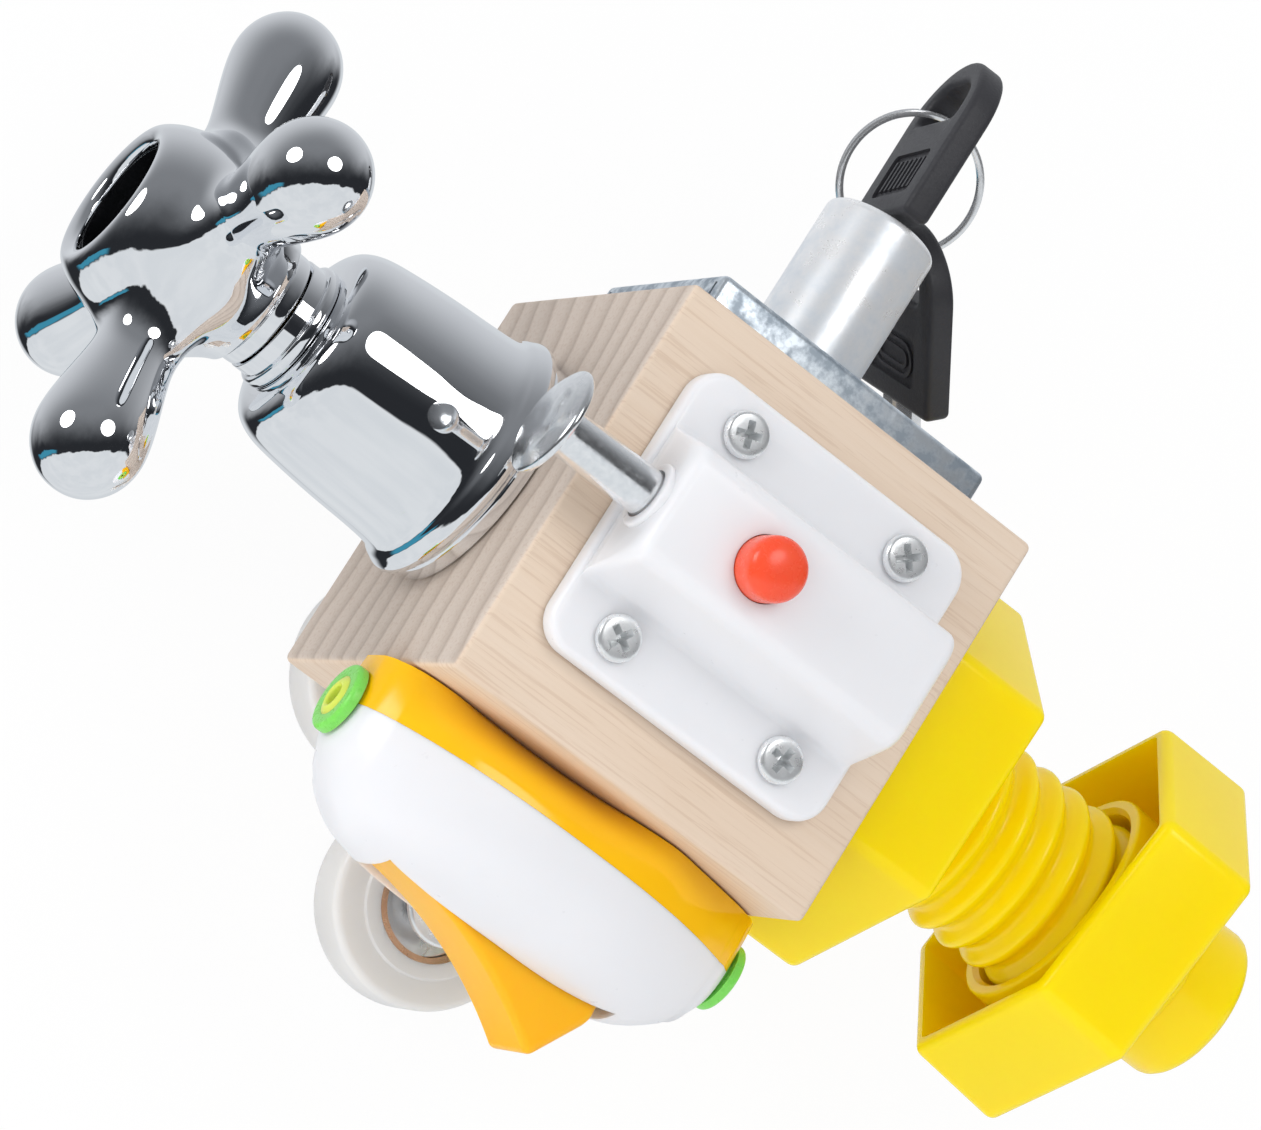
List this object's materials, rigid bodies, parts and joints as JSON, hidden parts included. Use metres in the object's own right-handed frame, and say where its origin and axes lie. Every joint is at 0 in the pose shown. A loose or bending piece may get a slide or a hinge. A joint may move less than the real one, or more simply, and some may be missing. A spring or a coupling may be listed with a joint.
{
  "type": "busy board cube",
  "caption": "Wooden activity cube with a tap handle, drawer lock with keys, push latch, toy bolt with nut, cord rocker switch and twin roller, one on each face.",
  "frame": {"origin": "under the middle of the part, on the surface that the lowest roller wheels touch", "axes": "+X out of the face with the toy bolt, +Y out of the face with the drawer lock, +Z out of the face with the push latch"},
  "size_m": [0.1798, 0.1388, 0.0883],
  "materials": {
    "pine": "sanded, unvarnished",
    "chrome": "polished plating",
    "brass": "turned",
    "zinc": "zinc plated, satin",
    "steel": "nickel plated, bright",
    "black_plastic": "fine grained moulding",
    "white_plastic": "smooth moulding",
    "red_plastic": "polished moulding",
    "yellow_plastic": "smooth moulding",
    "amber_plastic": "smooth moulding",
    "green_plastic": "smooth moulding",
    "nylon": "translucent moulding"
  },
  "bodies": {
    "base": {"wood_block": "pine", "tap_flange": "chrome", "tap_bell": "chrome", "tap_body": "brass", "tap_gland_nut": "chrome", "lock_tray": "zinc", "lock_barrel": "zinc", "lock_screw_1": "zinc", "lock_screw_2": "zinc", "latch_housing": "white_plastic", "latch_spring": "steel", "latch_screw_1": "zinc", "latch_screw_2": "zinc", "latch_screw_3": "zinc", "latch_screw_4": "zinc", "toy_bolt": "yellow_plastic", "bolt_stud": "zinc", "switch_base": "yellow_plastic", "switch_cover": "white_plastic", "rocker_pin": "steel", "switch_grommet_1": "green_plastic", "switch_grommet_2": "green_plastic", "switch_screw_1": "zinc", "switch_screw_2": "zinc", "roller_bracket": "zinc", "roller_axle_1": "zinc", "roller_axle_2": "zinc", "bracket_screw_1": "zinc", "bracket_screw_2": "zinc"},
    "tap_knob": {"tap_handle": "chrome", "tap_spindle": "brass", "tap_handle_screw": "zinc"},
    "plug": {"lock_plug": "steel"},
    "tongue": {"lock_tongue": "steel"},
    "key": {"key_blade": "steel", "key_head": "black_plastic"},
    "ring": {"key_ring": "steel"},
    "spare_key": {"spare_key_blade": "steel", "spare_key_head": "black_plastic"},
    "pin": {"latch_pin": "zinc"},
    "button": {"latch_button": "red_plastic"},
    "nut": {"toy_nut": "yellow_plastic"},
    "rocker": {"switch_rocker": "amber_plastic"},
    "wheel_1": {"roller_wheel_1": "nylon", "roller_bearing_1": "steel"},
    "wheel_2": {"roller_wheel_2": "nylon", "roller_bearing_2": "steel"}
  },
  "joints": [
    {"name": "tap_turn", "type": "hinge", "parent": "base", "child": "tap_knob", "pos_m": [-0.065, -0.01193, 0.0414], "axis": [-1, 0, 0], "range_deg": [0, 900]},
    {"name": "plug_turn", "type": "hinge", "parent": "base", "child": "plug", "pos_m": [-0.00454, 0.03, 0.0414], "axis": [0, 1, 0], "range_deg": [0, 180]},
    {"name": "tongue_slide", "type": "slide", "parent": "base", "child": "tongue", "axis": [0, 0, -1], "range_m": [0, 0.007]},
    {"name": "key_pull", "type": "slide", "parent": "plug", "child": "key", "axis": [0, 1, 0], "range_m": [0, 0.024]},
    {"name": "ring_swing", "type": "hinge", "parent": "key", "child": "ring", "pos_m": [-0.00421, 0.06242, 0.03671], "axis": [0.9653, 0.2357, 0.1125], "range_deg": [0, 15]},
    {"name": "spare_swing", "type": "hinge", "parent": "ring", "child": "spare_key", "pos_m": [0.00362, 0.04713, 0.03121], "axis": [0.8044, 0.5497, 0.2254], "range_deg": [0, 10]},
    {"name": "pin_slide", "type": "slide", "parent": "base", "child": "pin", "axis": [1, 0, 0], "range_m": [0, 0.011], "stiffness_N_per_m": 150, "springref_m": -0.003, "deforming": ["latch_spring"]},
    {"name": "button_press", "type": "slide", "parent": "base", "child": "button", "axis": [0, 0, -1], "range_m": [0, 0.0018], "stiffness_N_per_m": 300, "springref_m": -0.001},
    {"name": "nut_spin", "type": "hinge", "parent": "base", "child": "nut", "pos_m": [0.06816, -0.01133, 0.0414], "axis": [0.9941, -0.08, 0.0732], "continuous": true},
    {"name": "rocker_tip", "type": "hinge", "parent": "base", "child": "rocker", "pos_m": [-0.00279, -0.05593, 0.0497], "axis": [0, 0, 1], "range_deg": [0, 40]},
    {"name": "wheel_1_spin", "type": "hinge", "parent": "base", "child": "wheel_1", "pos_m": [0.00516, -0.05243, 0.005], "axis": [0, 0, 1], "continuous": true},
    {"name": "wheel_2_spin", "type": "hinge", "parent": "base", "child": "wheel_2", "pos_m": [-0.01404, -0.03063, 0.005], "axis": [0, 0, 1], "continuous": true}
  ],
  "couplings": [
    {"joint": "tongue_slide", "follows": "plug_turn", "m_per_rad": 0.0022282}
  ]
}
